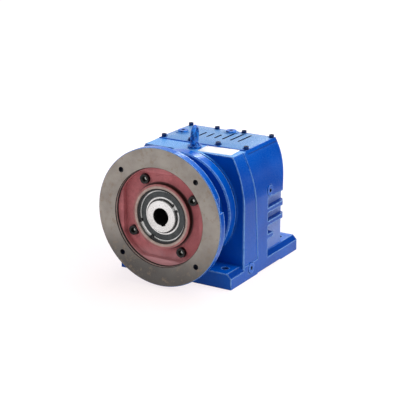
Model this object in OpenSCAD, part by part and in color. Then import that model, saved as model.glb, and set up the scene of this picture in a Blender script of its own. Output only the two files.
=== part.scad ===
// Foot-mounted inline helical gear reducer with a hollow-shaft motor adapter.
// Millimetres, +Z up, +Y towards the output shaft. The origin is the centre of the
// foot bolt pattern on the base plane.

/* [Layout] */
// Height of the main axis above the base
axis_height = 180; // [180:0.5:181]
// Distance from the foot pattern centre forward to the motor face
motor_face_reach = 249; // [248:0.5:250]
// Angle of the countershaft round the main axis, seen from the motor
countershaft_angle = 240; // [239:0.5:240]

/* [Foot] */
// Width over the feet and over the straight housing sides
foot_width = 323; // [322:0.5:326]
// Length of the feet along the shafts
foot_length = 349; // [345:1:352]
// Thickness of the feet
foot_height = 40; // [38:0.5:41]
// Chamfer along the long upper edges of the feet
foot_chamfer = 11.5; // [8:0.5:13]
// Foot bolt spacing across the shafts
foot_pitch_x = 250; // [248:1:252]
// Foot bolt spacing along the shafts
foot_pitch_y = 280; // [278:1:284]
// Diameter of the foot bolt holes
foot_hole = 18; // [17:0.5:19]
// Depth of the relief between the machined pads under the base
base_relief = 2.5; // [2:0.5:3]

/* [Housing] */
// Length of the housing body
body_length = 219; // [219:0.5:221]
// Width of the housing at its top deck
deck_width = 256; // [254:1:258]
// Height of the top deck above the main axis
deck_rise = 137; // [136:0.5:138]
// Height above the main axis where the straight sides start to lean in
shoulder_rise = 8; // [6:0.5:10]
// Radius of the upright corners at the output end
rear_corner = 25; // [20:1:28]
// Radius of the upright corners at the motor end
front_corner = 7; // [5:1:9]
// Depth of the lowered band at the motor end
band_depth = 1.5; // [1:0.5:2]
// Thickness of the wall at the motor end
front_wall = 18; // [18:0.5:19]
// Thickness of the wall at the output end
rear_wall = 18.5; // [18:0.5:19]
// Thickness of the side walls
side_wall = 12; // [11:0.5:12]
// Thickness of the oil sump floor
sump_floor = 12; // [11:0.5:12]
// Thickness of the inner bearing wall
web = 26; // [26:0.5:27]
// Depth of the ribbed pockets in the sides
pocket_depth = 14.5; // [12:0.5:15]
// Start of the ribbed pockets behind the foot pattern centre
pocket_start = 11; // [8:1:14]
// Height of each rib in a pocket
rib_height = 12.5; // [10:0.5:14]
// Spacing of the ribs
rib_pitch = 35; // [33:0.5:36]
// Length of the short lowest rib
short_rib = 31; // [25:1:40]

/* [Cover] */
// Thickness of the top cover at its rim
cover_thickness = 8.5; // [8:0.5:9.5]
// Rise of the cover rim above the deck
cover_step = 1.5; // [1:0.5:3]
// Rise of the cover middle above its rim
cover_crown = 2.5; // [1.5:0.5:3]
// Width of the sloping border round the cover middle
cover_border = 30; // [26:1:34]
// Thickness of the cover gasket
gasket_thickness = 1; // [0.5:0.5:1.5]
// Depth of the cooling slots in the cover
slot_depth = 4; // [3:0.5:5]
// Width of the cooling slots
slot_width = 6; // [4:0.5:8]
// Spacing of the cooling slots
slot_pitch = 23; // [20:0.5:24]
// Length of the short cooling slots
short_slot = 39; // [30:1:45]
// Length of the long cooling slots
long_slot = 72; // [60:1:74]
// Rise of the round plug bosses above the cover middle
boss_rise = 1; // [0.5:0.5:2]
// Distance of the corner bolts from the middle, across the shafts
cover_bolt_x = 120.4; // [119:0.2:121]
// Thread diameter of the cover bolts
cover_bolt = 8; // [7:0.5:8]

/* [Motor adapter] */
// Outer diameter of the motor flange
flange_diameter = 350; // [348:0.5:351]
// Thickness of the motor flange
flange_thickness = 20; // [18:0.5:22]
// Register diameter for the motor spigot
register_diameter = 250; // [249:0.5:250]
// Depth of the motor register
register_depth = 11; // [9:0.5:12]
// Bolt circle of the motor flange
flange_circle = 300; // [298:0.5:302]
// Core diameter of the tapped holes in the motor flange
flange_hole = 14; // [13:0.5:15]
// Width over the flats of the opening behind the register
window_width = 216; // [212:1:220]
// Depth of the adapter floor behind the motor face
bowl_depth = 26; // [25:0.5:27]
// Diameter of the bearing boss in the bowl
boss_diameter = 162; // [160:0.5:163]
// Depth of the bearing boss rim behind the motor face
boss_depth = 12; // [11:0.5:12.5]
// Diameter of the adapter neck
neck_diameter = 244; // [242:1:248]
// Diameter of the rear ring and of the seat on the housing
ring_diameter = 285; // [283:0.5:286]
// Thickness of the rear ring
ring_thickness = 30; // [28:0.5:32]
// Bolt circle of the screws that hold the adapter
adapter_circle = 200; // [198:0.5:201]
// Angle of the first adapter screw, seen from the motor
adapter_screw_angle = 31; // [30:0.5:32]
// Thread diameter of the adapter screws
adapter_screw = 16; // [15:0.5:16]

/* [Gears] */
// Transverse module of both gear pairs
tooth_module = 4; // [3.95:0.05:4]
// Pressure angle
pressure_angle = 20; // [20:0.5:22]
// Helix angle of the teeth
helix_angle = 12; // [8:1:14]
// Sum of teeth of each gear pair
tooth_sum = 52; // [52]
// Teeth of the input pinion
input_teeth = 16; // [15:1:17]
// Teeth of the countershaft pinion
counter_teeth = 17; // [16:1:18]
// Face width of the first gear
first_face = 34; // [32:0.5:34]
// Face width of the output gear
second_face = 40; // [38:0.5:40]
// Extra face width of a pinion over its gear
pinion_margin = 5; // [3:0.5:6]
// Gap between meshing flanks
backlash = 0.4; // [0.3:0.05:0.5]

/* [Shafts] */
// Bore for the motor shaft
motor_bore = 42; // [41.5:0.1:42.5]
// Width of the motor keyway
motor_key = 12; // [12:0.1:12.5]
// Depth of the motor bore
motor_bore_depth = 112; // [110:0.5:113]
// Angle of the motor keyway, seen from the motor
motor_key_angle = -70; // [-180:5:180]
// Diameter of the output shaft end
output_diameter = 50; // [49:0.1:50]
// Length of the output shaft end
output_length = 100; // [95:1:105]
// Width of the key slot in the output shaft end
output_key = 14; // [13:0.5:14]
// Running gap between parts that turn against each other
running_gap = 0.3; // [0.3:0.05:0.5]

/* [Oil plugs] */
// Thread diameter of the oil plugs
plug_thread = 22; // [21:0.5:23]
// Collar diameter of the oil plugs
plug_collar = 27; // [26:0.5:28]

/* [Hidden] */
$fn = 96;

// Small overlap that lets one cut pass cleanly through another
cut = 1;
// Slip allowance between pieces that are bolted or pushed together
slip = 0.05;

// Bearing sizes: [bore, outside diameter, width, ball count]
front_bearing = [80, 140, 26, 11];
pilot_bearing = [60, 110, 22, 11];
counter_front_bearing = [30, 72, 19, 9];
counter_rear_bearing = [35, 80, 21, 9];
output_front_bearing = [50, 90, 20, 10];
output_rear_bearing = [60, 110, 22, 11];
// Ball radius over pitch radius, the same in every bearing
ball_share = 0.18;

// Paint and metal colours
enamel = [0.05, 0.27, 0.68];
steel = [0.78, 0.78, 0.78];
dark_steel = [0.12, 0.12, 0.13];
gear_steel = [0.6, 0.6, 0.62];
rubber = [0.2, 0.21, 0.22];
brass = [0.75, 0.6, 0.3];

// Setbacks along the shafts and shares of the free length between the gears
counter_seat_setback = 7.5;
rear_boss_length = 28;
front_gap_share = 3;
web_gap_share = 3;
spacer_share = 10;
rear_gap_share = 7;

// Housing stations along Y
body_front = -body_length / 2;
body_rear = body_length / 2;
half_width = foot_width / 2;
deck_z = axis_height + deck_rise;
cover_z = deck_z + cover_step - cover_thickness;
seat_z = cover_z - gasket_thickness;
shoulder_z = axis_height + shoulder_rise;
// The leaning arc starts a little proud and is cut off at the straight side
shoulder_swell = 0.3;
corner_swell = 0.2;
shoulder_inset = half_width + shoulder_swell - deck_width / 2;
side_radius = (pow(deck_rise - shoulder_rise, 2) + pow(shoulder_inset, 2)) / 2 / shoulder_inset;
band_top = body_front + 48;
band_foot = body_front + 75;
chamber_front = body_front + front_wall;
chamber_rear = body_rear - rear_wall;
rear_boss_front = chamber_rear - rear_boss_length;
counter_front_y = body_front + counter_seat_setback;
counter_boss_end = counter_front_y + counter_front_bearing[2];
// Along the shafts the free length is shared out as gaps in front of and behind each gear
free_length = rear_boss_front - counter_boss_end - first_face - web - second_face;
gap_unit = free_length / (front_gap_share + web_gap_share + spacer_share + rear_gap_share);
first_gear_front = counter_boss_end + front_gap_share * gap_unit;
first_gear_rear = first_gear_front + first_face;
web_front = first_gear_rear + web_gap_share * gap_unit;
web_rear = web_front + web;
output_gear_front = web_rear + spacer_share * gap_unit;
output_gear_rear = output_gear_front + second_face;
first_mid = (first_gear_front + first_gear_rear) / 2;
second_mid = (output_gear_front + output_gear_rear) / 2;
web_top = axis_height + 70;
upper_z = axis_height + 20;
neck_z = axis_height + 90;
mouth_z = axis_height + 92;
pocket_top = axis_height + 7;
rib_top = axis_height - 20;
cover_front = body_front + 65.5;
mouth_front = cover_front + 22;
mouth_rear = body_rear - 19.5;
mouth_half = deck_width / 2 - 20;
bolt_front = cover_front + 12.3;
bolt_rear = body_rear - 8.8;
relief_front = body_front + 70;
relief_rear = body_rear - 23;
rim_z = cover_z + cover_thickness;
crown_z = rim_z + cover_crown;
bolt_seat_z = rim_z - 0.4;
boss_top_z = crown_z + boss_rise;
eyebolt_y = body_front + 30.5;
eyebolt_thread = 16;
eye_rise = 31;
eye_radius = 21;
eye_thickness = 12;
eyebolt_turn = 18;
level_y = pocket_start + 9;
level_z = axis_height + 25;
drain_y = body_front + 35.5;
drain_z = 27;
plug_seat_depth = 2.5;
plug_length = 12;
collar_height = 4;
breather = [10, body_rear - 23.5];
filler = [-100, cover_front + 72];

// Adapter stations along Y
face_y = -motor_face_reach;
seat_height = 6.5;
seat_y = body_front - seat_height;
ring_rear = seat_y - 4;
ring_front = ring_rear - ring_thickness;
ring_clearance = 1;
floor_y = face_y + bowl_depth;
spigot_radius = 56;
spigot_end = seat_y + 18;
front_bearing_y = face_y + 20;
pilot_bearing_y = seat_y - 33;
hub_y = face_y + 11.5;
input_seal_width = 12;
seal_y = pilot_bearing_y - 6 - input_seal_width;
// The hub stops short of the pinion, whose stem sits in a bore behind the motor bore
hub_end = first_gear_front - 6;
stem_radius = 15;
hub_nose_radius = 24;
stem_seat_y = hub_y + motor_bore_depth + 5;
stem_y = stem_seat_y + 2;
head_recess = 8;
adapter_head = 16;
adapter_screw_end = body_front + front_wall - 2.5;
circlip_groove = 4.2;

// Gear stations and sizes
centre_distance = tooth_module * tooth_sum / 2;
counter = centre_distance * [cos(countershaft_angle), sin(countershaft_angle)];
first_gear_teeth = tooth_sum - input_teeth;
output_teeth = tooth_sum - counter_teeth;
addendum = 0.9 * tooth_module;
dedendum = 1.2 * tooth_module;
flank_steps = 3;
helix_slices = 4;
mesh_angle = -countershaft_angle;

// Shaft stations
counter_rear_y = rear_boss_front + 2;
counter_rear_end = counter_rear_y + counter_rear_bearing[2];
output_front_y = web_rear - output_front_bearing[2];
output_rear_y = rear_boss_front + 4;
output_rear_end = output_rear_y + output_rear_bearing[2];
output_land_end = body_rear + 10.5;
output_end = output_land_end + output_length;
gear_seat = 32.5;
gear_key = 18;
gear_key_depth = 7;
gear_key_height = 11;
counter_seat = 22.5;
counter_key = 14;
counter_key_depth = 5.5;
counter_key_height = 9;
key_margin = 2;
output_key_depth = 5.5;
output_key_margin = 8;
output_key_angle = 36;
centre_hole = 14;
centre_hole_depth = 40;
cap_thickness = 10;
cap_y = body_rear - 2 - cap_thickness;
output_seal_width = 12;
output_seal_y = body_rear - 2 - output_seal_width;

// Places a child that rises along +Z so that it runs along +Y from y
module at_axis(y, p = [0, 0]) {
    translate([p[0], y, axis_height + p[1]])
        rotate([-90, 0, 0])
            children();
}

// Extrudes a front-view outline (X, Z) from y0 to y1
module along_y(y0, y1) {
    translate([0, y1, 0])
        rotate([90, 0, 0])
            linear_extrude(y1 - y0)
                children();
}

// Places children on a circle, angles counted as seen from the motor
module round_axis(radius, first, count) {
    for (i = [0 : count - 1])
        rotate([0, 0, -first - i * 360 / count])
            translate([radius, 0, 0])
                children();
}

module ring(outer, inner, length) {
    difference() {
        cylinder(r = outer, h = length);
        translate([0, 0, -cut])
            cylinder(r = inner, h = length + 2 * cut);
    }
}

// Outline with half-round ends that starts at the origin and runs along +Y
module round_ended(width, length) {
    translate([-width / 2, width / 2])
        square([width, length - width]);
    for (y = [width / 2, length - width / 2])
        translate([0, y])
            circle(d = width);
}

// ---- Housing ----

// Front view of the body up to a height
module body_profile(inset, top) {
    half = half_width - inset;
    centre = half + shoulder_swell - side_radius;
    intersection() {
        translate([-half, 0])
            square([2 * half, top]);
        union() {
            translate([-half, 0])
                square([2 * half, shoulder_z]);
            intersection() {
                translate([centre, shoulder_z])
                    circle(r = side_radius, $fn = 360);
                translate([-centre, shoulder_z])
                    circle(r = side_radius, $fn = 360);
                translate([-half, shoulder_z - cut])
                    square([2 * half, top]);
            }
        }
    }
}

// Top view of the body; its round corners reach a little past the sides, which cut them
module body_plan() {
    translate([-half_width, body_front + front_corner])
        square([2 * half_width, body_length - front_corner - rear_corner]);
    translate([front_corner - half_width, body_front])
        square([2 * (half_width - front_corner), body_length / 2]);
    translate([rear_corner - half_width, 0])
        square([2 * (half_width - rear_corner), body_rear]);
    for (side = [-1, 1]) {
        translate([side * (half_width + corner_swell - front_corner),
                   body_front - corner_swell + front_corner])
            circle(r = front_corner);
        translate([side * (half_width + corner_swell - rear_corner),
                   body_rear + corner_swell - rear_corner])
            circle(r = rear_corner);
    }
}

// Side view of the part of the body behind the lowered band
module proud_side() {
    rotate([90, 0, 90])
        linear_extrude(foot_width + 2 * cut, center = true)
            polygon([[band_foot, -cut], [band_top, deck_z + cut],
                     [body_rear + cut, deck_z + cut], [body_rear + cut, -cut]]);
}

module foot_slab() {
    top = half_width - foot_chamfer;
    low = foot_height - foot_chamfer;
    along_y(-foot_length / 2, foot_length / 2)
        polygon([[-half_width, 0], [half_width, 0], [half_width, low], [top, foot_height],
                 [-top, foot_height], [-half_width, low]]);
}

module body_block() {
    intersection() {
        union() {
            along_y(body_front, body_rear)
                body_profile(band_depth, deck_z);
            intersection() {
                along_y(body_front, body_rear)
                    body_profile(0, deck_z);
                proud_side();
            }
            translate([-half_width, body_front, 0])
                cube([foot_width, body_length, foot_height]);
        }
        linear_extrude(deck_z)
            body_plan();
    }
}

module chamber_profile(half) {
    translate([-half, sump_floor])
        square([2 * half, upper_z - sump_floor]);
    translate([-half + 20, upper_z - cut])
        square([2 * half - 40, mouth_z - upper_z]);
}

module chambers() {
    along_y(chamber_front, web_front)
        chamber_profile(half_width - side_wall);
    along_y(web_rear, chamber_rear)
        chamber_profile(half_width - pocket_depth - side_wall + 1);
    // opening over the inner wall and mouth under the cover
    translate([-mouth_half, web_front - cut, web_top])
        cube([2 * mouth_half, web + 2 * cut, mouth_z - web_top - cut]);
    translate([-mouth_half, mouth_front, neck_z])
        cube([2 * mouth_half, mouth_rear - mouth_front, seat_z - neck_z + cut]);
    // oil passage at the foot of the inner wall
    translate([20, web_front - cut, sump_floor])
        cube([60, web + 2 * cut, 20]);
}

module pocket() {
    wall = half_width - pocket_depth;
    out = half_width + cut;
    difference() {
        along_y(pocket_start, body_rear + cut)
            polygon([[wall, foot_height], [half_width - foot_chamfer, foot_height],
                     [out, foot_height - foot_chamfer - cut], [out, pocket_top],
                     [wall, pocket_top]]);
        for (i = [0 : 2])
            translate([wall - cut, pocket_start - cut, rib_top - i * rib_pitch - rib_height])
                cube([pocket_depth + 3 * cut, i == 2 ? short_rib + cut : body_length, rib_height]);
    }
}

// Seat of a plug on the right side, its depth along +Z pointing into the housing
module side_plug_place(place) {
    translate([half_width - plug_seat_depth, place[0], place[1]])
        rotate([0, -90, 0])
            children();
}

module cover_bolt_places() {
    for (i = [-3, -1, 1, 3])
        for (y = [bolt_front, bolt_rear])
            translate([i * cover_bolt_x / 3, y, 0])
                children();
}

// Round trough in the feet that clears the adapter's rear ring
module ring_relief() {
    at_axis(-foot_length / 2 - cut)
        cylinder(r = ring_diameter / 2 + ring_clearance,
                 h = ring_rear + ring_clearance + foot_length / 2 + cut);
}

module housing_bosses() {
    at_axis(seat_y)
        cylinder(r = ring_diameter / 2, h = seat_height + cut);
    at_axis(chamber_front - cut, counter)
        cylinder(r = counter_front_bearing[1] / 2 + 10, h = counter_boss_end - chamber_front + cut);
    at_axis(rear_boss_front)
        cylinder(r = output_rear_bearing[1] / 2 + 13, h = body_rear + 4 - rear_boss_front);
    at_axis(rear_boss_front, counter)
        cylinder(r = counter_rear_bearing[1] / 2 + 10, h = chamber_rear - rear_boss_front + cut);
}

module housing_bores() {
    // motor end: adapter spigot and countershaft bearing
    at_axis(seat_y - cut)
        cylinder(r = spigot_radius, h = seat_height + front_wall + 20);
    at_axis(counter_front_y, counter)
        cylinder(r = counter_front_bearing[1] / 2, h = front_wall + 20);
    // inner wall
    at_axis(web_front - cut)
        cylinder(r = output_front_bearing[1] / 2 - 5, h = web);
    at_axis(output_front_y)
        cylinder(r = output_front_bearing[1] / 2, h = output_front_bearing[2] + cut);
    at_axis(web_front - cut, counter)
        cylinder(r = counter_rear_bearing[1] / 2 + 1, h = web + 2 * cut);
    // output end
    at_axis(rear_boss_front - cut)
        cylinder(r = output_rear_bearing[1] / 2 - 7, h = rear_wall);
    at_axis(output_rear_y)
        cylinder(r = output_rear_bearing[1] / 2, h = body_rear + 5 - output_rear_y);
    at_axis(output_rear_end)
        cylinder(r = output_rear_bearing[1] / 2 + 2, h = circlip_groove);
    at_axis(rear_boss_front - cut, counter)
        cylinder(r = counter_rear_bearing[1] / 2, h = body_rear + 2 * cut - rear_boss_front);
    at_axis(counter_rear_end, counter)
        cylinder(r = counter_rear_bearing[1] / 2 + 1.75, h = 2.65);
}

module housing_holes() {
    for (x = [-1, 1])
        for (y = [-1, 1])
            translate([x * foot_pitch_x / 2, y * foot_pitch_y / 2, -cut])
                cylinder(d = foot_hole, h = foot_height + 2 * cut);
    at_axis(seat_y - cut)
        round_axis(adapter_circle / 2, adapter_screw_angle, 4)
            cylinder(d = adapter_screw, h = adapter_screw_end + 1.5 - seat_y + cut);
    cover_bolt_places()
        translate([0, 0, seat_z - 20])
            cylinder(d = cover_bolt, h = 20 + cut);
    translate([0, eyebolt_y, deck_z - 30])
        cylinder(d = eyebolt_thread, h = 30 + cut);
    for (place = [[level_y, level_z], [drain_y, drain_z]])
        side_plug_place(place) {
            translate([0, 0, -cut])
                cylinder(d = plug_thread, h = 60);
            translate([0, 0, -plug_seat_depth - cut])
                cylinder(d = plug_collar + 2, h = plug_seat_depth + cut);
        }
}

module seat_trim() {
    // flat on top of the round seat, level with the deck, and notches in its sides
    translate([-ring_diameter / 2, seat_y - cut, deck_z])
        cube([ring_diameter, seat_height + 2 * cut, ring_diameter]);
    for (side = [-1, 1])
        translate([side * ring_diameter / 2 - 13, seat_y - cut, axis_height - 55])
            cube([26, seat_height - 1, 26]);
}

module gear_housing() {
    color(enamel)
        difference() {
            union() {
                difference() {
                    union() {
                        body_block();
                        foot_slab();
                    }
                    chambers();
                    pocket();
                    mirror([1, 0, 0])
                        pocket();
                    // seat of the cover
                    translate([-half_width, cover_front, seat_z])
                        cube([foot_width, body_length, deck_z]);
                    ring_relief();
                }
                housing_bosses();
            }
            housing_bores();
            housing_holes();
            seat_trim();
            translate([-half_width - cut, relief_front, -cut])
                cube([foot_width + 2 * cut, relief_rear - relief_front, base_relief + cut]);
        }
}

// ---- Cover and its fittings ----

// Outline of the body in the front view between two heights
module cover_profile(low, high) {
    difference() {
        body_profile(0, high);
        translate([-half_width - cut, -cut])
            square([foot_width + 2 * cut, low + cut]);
    }
}

// Three short and three long slots
module cover_slots() {
    for (i = [0 : 5])
        translate([(i - 2) * slot_pitch + 3, mouth_front + 34, crown_z - slot_depth])
            linear_extrude(slot_depth + cut)
                round_ended(slot_width, i < 3 ? short_slot : long_slot);
}

// Plate with a level middle and a border that slopes down to the rim on all sides
module cover_plate() {
    side = deck_width / 2;
    low = cover_z - cut;
    intersection() {
        along_y(cover_front, body_rear)
            cover_profile(cover_z, crown_z);
        along_y(cover_front - cut, body_rear + cut)
            polygon([[-side - 10, low], [side + 10, low], [side + 10, rim_z], [side, rim_z],
                     [side - cover_border, crown_z], [cover_border - side, crown_z],
                     [-side, rim_z], [-side - 10, rim_z]]);
        rotate([90, 0, 90])
            linear_extrude(foot_width, center = true)
                polygon([[cover_front, low], [body_rear, low], [body_rear, rim_z],
                         [body_rear - cover_border, crown_z],
                         [cover_front + cover_border, crown_z], [cover_front, rim_z]]);
    }
}

module top_cover() {
    color(enamel)
        difference() {
            union() {
                difference() {
                    cover_plate();
                    cover_slots();
                }
                for (place = [breather, filler])
                    translate([place[0], place[1], cover_z])
                        cylinder(r = plug_collar / 2 + 6, h = boss_top_z - cover_z);
            }
            cover_bolt_places() {
                translate([0, 0, cover_z - cut])
                    cylinder(d = cover_bolt + 1, h = cover_thickness + 2 * cut);
                translate([0, 0, bolt_seat_z])
                    cylinder(d = 2.4 * cover_bolt, h = 10);
            }
            for (place = [breather, filler])
                translate([place[0], place[1], cover_z - cut])
                    cylinder(d = plug_thread, h = 20);
        }
}

module cover_gasket() {
    color(dark_steel)
        difference() {
            along_y(cover_front, body_rear)
                cover_profile(seat_z, cover_z);
            translate([-mouth_half, mouth_front, seat_z - cut])
                cube([2 * mouth_half, mouth_rear - mouth_front, 3 * cut]);
            cover_bolt_places()
                translate([0, 0, seat_z - cut])
                    cylinder(d = cover_bolt + 1, h = 3 * cut);
        }
}

// Socket-head screw, head upwards with its underside at z = 0
module socket_screw(thread, shank, head, head_height) {
    difference() {
        union() {
            cylinder(d = head, h = head_height);
            translate([0, 0, -shank])
                cylinder(d = thread - 2 * slip, h = shank);
        }
        translate([0, 0, head_height / 2])
            cylinder(d = thread * 0.95, h = head_height, $fn = 6);
    }
}

module cover_bolts() {
    color(enamel)
        cover_bolt_places()
            translate([0, 0, bolt_seat_z])
                socket_screw(cover_bolt, cover_thickness + gasket_thickness + 16,
                             cover_bolt * 1.6, cover_bolt);
}

module lifting_eyebolt() {
    color(enamel)
        translate([0, eyebolt_y, deck_z]) {
            cylinder(r = 17.5, h = 6);
            translate([0, 0, 6])
                cylinder(r1 = 14, r2 = 8, h = 10);
            translate([0, 0, -26])
                cylinder(d = eyebolt_thread - 2 * slip, h = 27);
            translate([0, 0, eye_rise])
                rotate([0, 0, eyebolt_turn])
                    rotate([0, 90, 0])
                        rotate_extrude()
                            translate([eye_radius, 0])
                                circle(r = eye_thickness / 2);
        }
}

// Oil plug with its seat at z = 0 and its thread along +Z
module plug(length) {
    difference() {
        union() {
            translate([0, 0, -collar_height])
                cylinder(d = plug_collar, h = collar_height);
            cylinder(d = plug_thread - 2 * slip, h = length);
        }
        translate([0, 0, -collar_height - cut])
            cylinder(d = 11.5, h = 9, $fn = 6);
    }
}

module cover_plug(place) {
    translate([place[0], place[1], boss_top_z])
        rotate([180, 0, 0])
            plug(boss_top_z - cover_z - 0.5);
}

module breather_plug() {
    color(enamel)
        cover_plug(breather);
}

module filler_plug() {
    color(enamel)
        cover_plug(filler);
}

module level_plug() {
    color(enamel)
        side_plug_place([level_y, level_z])
            plug(plug_length);
}

module drain_plug() {
    color(enamel)
        side_plug_place([drain_y, drain_z])
            plug(plug_length);
}

// ---- Motor adapter ----

// Distance of a station behind the motor face
function depth(y) = y - face_y;

module adapter_blank() {
    outer = flange_diameter / 2;
    neck = neck_diameter / 2;
    back = ring_diameter / 2;
    register = register_diameter / 2;
    seat = front_bearing[1] / 2;
    pilot = pilot_bearing[1] / 2;
    shoulder = depth(front_bearing_y) + front_bearing[2];
    pilot_end = depth(pilot_bearing_y) + pilot_bearing[2];
    rotate_extrude($fn = 180)
        polygon([[register + 1, 0], [outer - 1.5, 0], [outer, 1.5], [outer, flange_thickness],
                 [neck + 18, flange_thickness], [neck, flange_thickness + 22],
                 [neck, depth(ring_front)], [back - 3, depth(ring_front)],
                 [back, depth(ring_front) + 3], [back, depth(ring_rear)],
                 [back - 7.5, depth(ring_rear)], [back - 7.5, depth(seat_y)],
                 [spigot_radius - slip, depth(seat_y)], [spigot_radius - slip, depth(spigot_end)],
                 [45, depth(spigot_end)], [45, pilot_end], [pilot, pilot_end],
                 [pilot, depth(seal_y)], [60, depth(seal_y)], [60, shoulder],
                 [seat, shoulder], [seat, depth(front_bearing_y)],
                 [seat + 2, depth(front_bearing_y)],
                 [seat + 2, depth(front_bearing_y) - circlip_groove],
                 [seat, depth(front_bearing_y) - circlip_groove], [seat, boss_depth + 1],
                 [seat + 1, boss_depth], [register - 25, boss_depth],
                 [register - 25, register_depth], [register, register_depth], [register, 1]]);
}

module adapter_window() {
    linear_extrude(bowl_depth - register_depth / 2)
        difference() {
            intersection() {
                circle(r = register_diameter / 2 - 4);
                square(window_width, center = true);
            }
            circle(d = boss_diameter);
        }
}

module motor_adapter() {
    color(enamel)
        difference() {
            at_axis(face_y)
                adapter_blank();
            at_axis(face_y + register_depth / 2)
                adapter_window();
            at_axis(face_y - cut)
                round_axis(flange_circle / 2, 45, 4)
                    cylinder(d = flange_hole, h = flange_thickness + 10);
            at_axis(floor_y - cut)
                round_axis(adapter_circle / 2, adapter_screw_angle, 4) {
                    cylinder(d = adapter_screw + 1.5, h = seat_y - floor_y + 2 * cut);
                    cylinder(d = adapter_screw * 1.5 + 2, h = head_recess + cut);
                }
            // wrench reliefs in the rear edge of the flange
            for (side = [-1, 1])
                translate([side * (flange_diameter / 2 - 7.5) - 7.5, face_y + 4,
                           axis_height + 38])
                    cube([15, flange_thickness, 49]);
        }
}

module adapter_screws() {
    color(dark_steel)
        at_axis(floor_y + head_recess)
            round_axis(adapter_circle / 2, adapter_screw_angle, 4)
                rotate([180, 0, 0])
                    socket_screw(adapter_screw, adapter_screw_end - floor_y - head_recess,
                                 adapter_screw * 1.5, adapter_head);
}

// ---- Bearings ----

function pitch_radius_of(b) = (b[0] + b[1]) / 4;
function ball_radius(b) = ball_share * pitch_radius_of(b);
function race_wall(b) = (b[1] - b[0]) / 4 - 0.82 * ball_radius(b);

module race_groove(b) {
    translate([0, 0, b[2] / 2])
        rotate_extrude()
            translate([pitch_radius_of(b), 0])
                circle(r = ball_radius(b) + running_gap);
}

module outer_ring(b) {
    color(steel)
        difference() {
            ring(b[1] / 2 - slip / 2, b[1] / 2 - race_wall(b), b[2]);
            race_groove(b);
        }
}

module inner_ring(b) {
    color(steel)
        difference() {
            ring(b[0] / 2 + race_wall(b), b[0] / 2 + slip / 2, b[2]);
            race_groove(b);
        }
}

// Balls and the cage that spaces them
module ball_set(b) {
    half = ball_radius(b) + 1;
    pocket = ball_radius(b) + running_gap;
    translate([0, 0, b[2] / 2]) {
        color(steel)
            round_axis(pitch_radius_of(b), 0, b[3])
                sphere(r = ball_radius(b));
        color(brass)
            difference() {
                translate([0, 0, -half])
                    ring(pitch_radius_of(b) + 1.6, pitch_radius_of(b) - 1.6, 2 * half);
                round_axis(pitch_radius_of(b), 0, b[3])
                    rotate([0, 90, 0])
                        cylinder(r = pocket, h = 10, center = true);
            }
    }
}

module front_bearing_shield() {
    color(rubber)
        at_axis(front_bearing_y + 0.4)
            ring(front_bearing[1] / 2 - race_wall(front_bearing) - slip,
                 front_bearing[0] / 2 + race_wall(front_bearing) + running_gap, 1.2);
}

// Radial shaft seal: a stiff ring with a lip that follows the shaft
module oil_seal(outer, shaft, width) {
    color(rubber)
        rotate_extrude()
            polygon([[shaft + running_gap, width * 0.3], [shaft + 4, 0], [outer - slip, 0],
                     [outer - slip, width], [outer - 3, width], [outer - 3, 2.5],
                     [shaft + 6, 2.5], [shaft + 4, width * 0.6],
                     [shaft + running_gap, width * 0.45]]);
}

// ---- Snap rings ----

// Snap ring outline: a ring opened round an angle, with pierced lugs at its ends
module snap_outline(outer, inner, lug_circle, lug, eye, angle, opening) {
    difference() {
        union() {
            difference() {
                circle(r = outer);
                circle(r = inner);
                rotate(-angle)
                    polygon([[0, 0], 2 * outer * [cos(opening / 2), sin(opening / 2)],
                             [3 * outer, 0],
                             2 * outer * [cos(opening / 2), -sin(opening / 2)]]);
            }
            for (side = [-1, 1])
                rotate(-angle + side * (opening / 2 + 3))
                    translate([lug_circle, 0])
                        circle(r = lug);
        }
        for (side = [-1, 1])
            rotate(-angle + side * (opening / 2 + 3))
                translate([lug_circle, 0])
                    circle(r = eye);
    }
}

module front_circlip() {
    color(dark_steel)
        at_axis(front_bearing_y - circlip_groove + slip)
            linear_extrude(circlip_groove - 2 * slip)
                snap_outline(front_bearing[1] / 2 + 1.9, front_bearing[1] / 2 - 5.5,
                             front_bearing[1] / 2 - 5, 4.8, 1.9, -140, 38);
}

module hub_circlip() {
    color(dark_steel)
        at_axis(front_bearing_y - 2.5)
            linear_extrude(2.5 - slip)
                snap_outline(front_bearing[0] / 2 + 3.6, front_bearing[0] / 2 - 1.9,
                             front_bearing[0] / 2 + 3.4, 3.6, 1.4, 35, 16);
}

module countershaft_circlip() {
    color(dark_steel)
        at_axis(counter_rear_end + slip, counter)
            linear_extrude(2.5)
                snap_outline(counter_rear_bearing[1] / 2 + 1.7,
                             counter_rear_bearing[1] / 2 - 5,
                             counter_rear_bearing[1] / 2 - 5, 3.6, 1.4, 90, 30);
}

module output_circlip() {
    color(dark_steel)
        at_axis(output_rear_end + slip)
            linear_extrude(circlip_groove - 2 * slip)
                snap_outline(output_rear_bearing[1] / 2 + 1.9,
                             output_rear_bearing[1] / 2 - 6,
                             output_rear_bearing[1] / 2 - 6, 4.4, 1.8, 90, 30);
}

// ---- Gears ----

function pitch_radius(teeth) = tooth_module * teeth / 2;
function base_radius(teeth) = pitch_radius(teeth) * cos(pressure_angle);
function involute(a) = tan(a) * 180 / PI - a;

// Half the angle that a tooth covers at a radius
function half_tooth(teeth, r) =
    90 / teeth - backlash / 4 / pitch_radius(teeth) * 180 / PI + involute(pressure_angle)
    - involute(acos(min(1, base_radius(teeth) / r)));

// Points of one flank from the root to the tip, as [radius, half angle]
function flank(teeth) =
    let (root = pitch_radius(teeth) - dedendum, tip = pitch_radius(teeth) + addendum,
         start = max(root, base_radius(teeth)))
    concat([[root, half_tooth(teeth, start)]],
           [for (i = [0 : flank_steps])
                let (r = start + (tip - start) * (i + 0.1) / (flank_steps + 0.1))
                    [r, half_tooth(teeth, r)]]);

function polar(r, a) = r * [cos(a), sin(a)];

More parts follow.
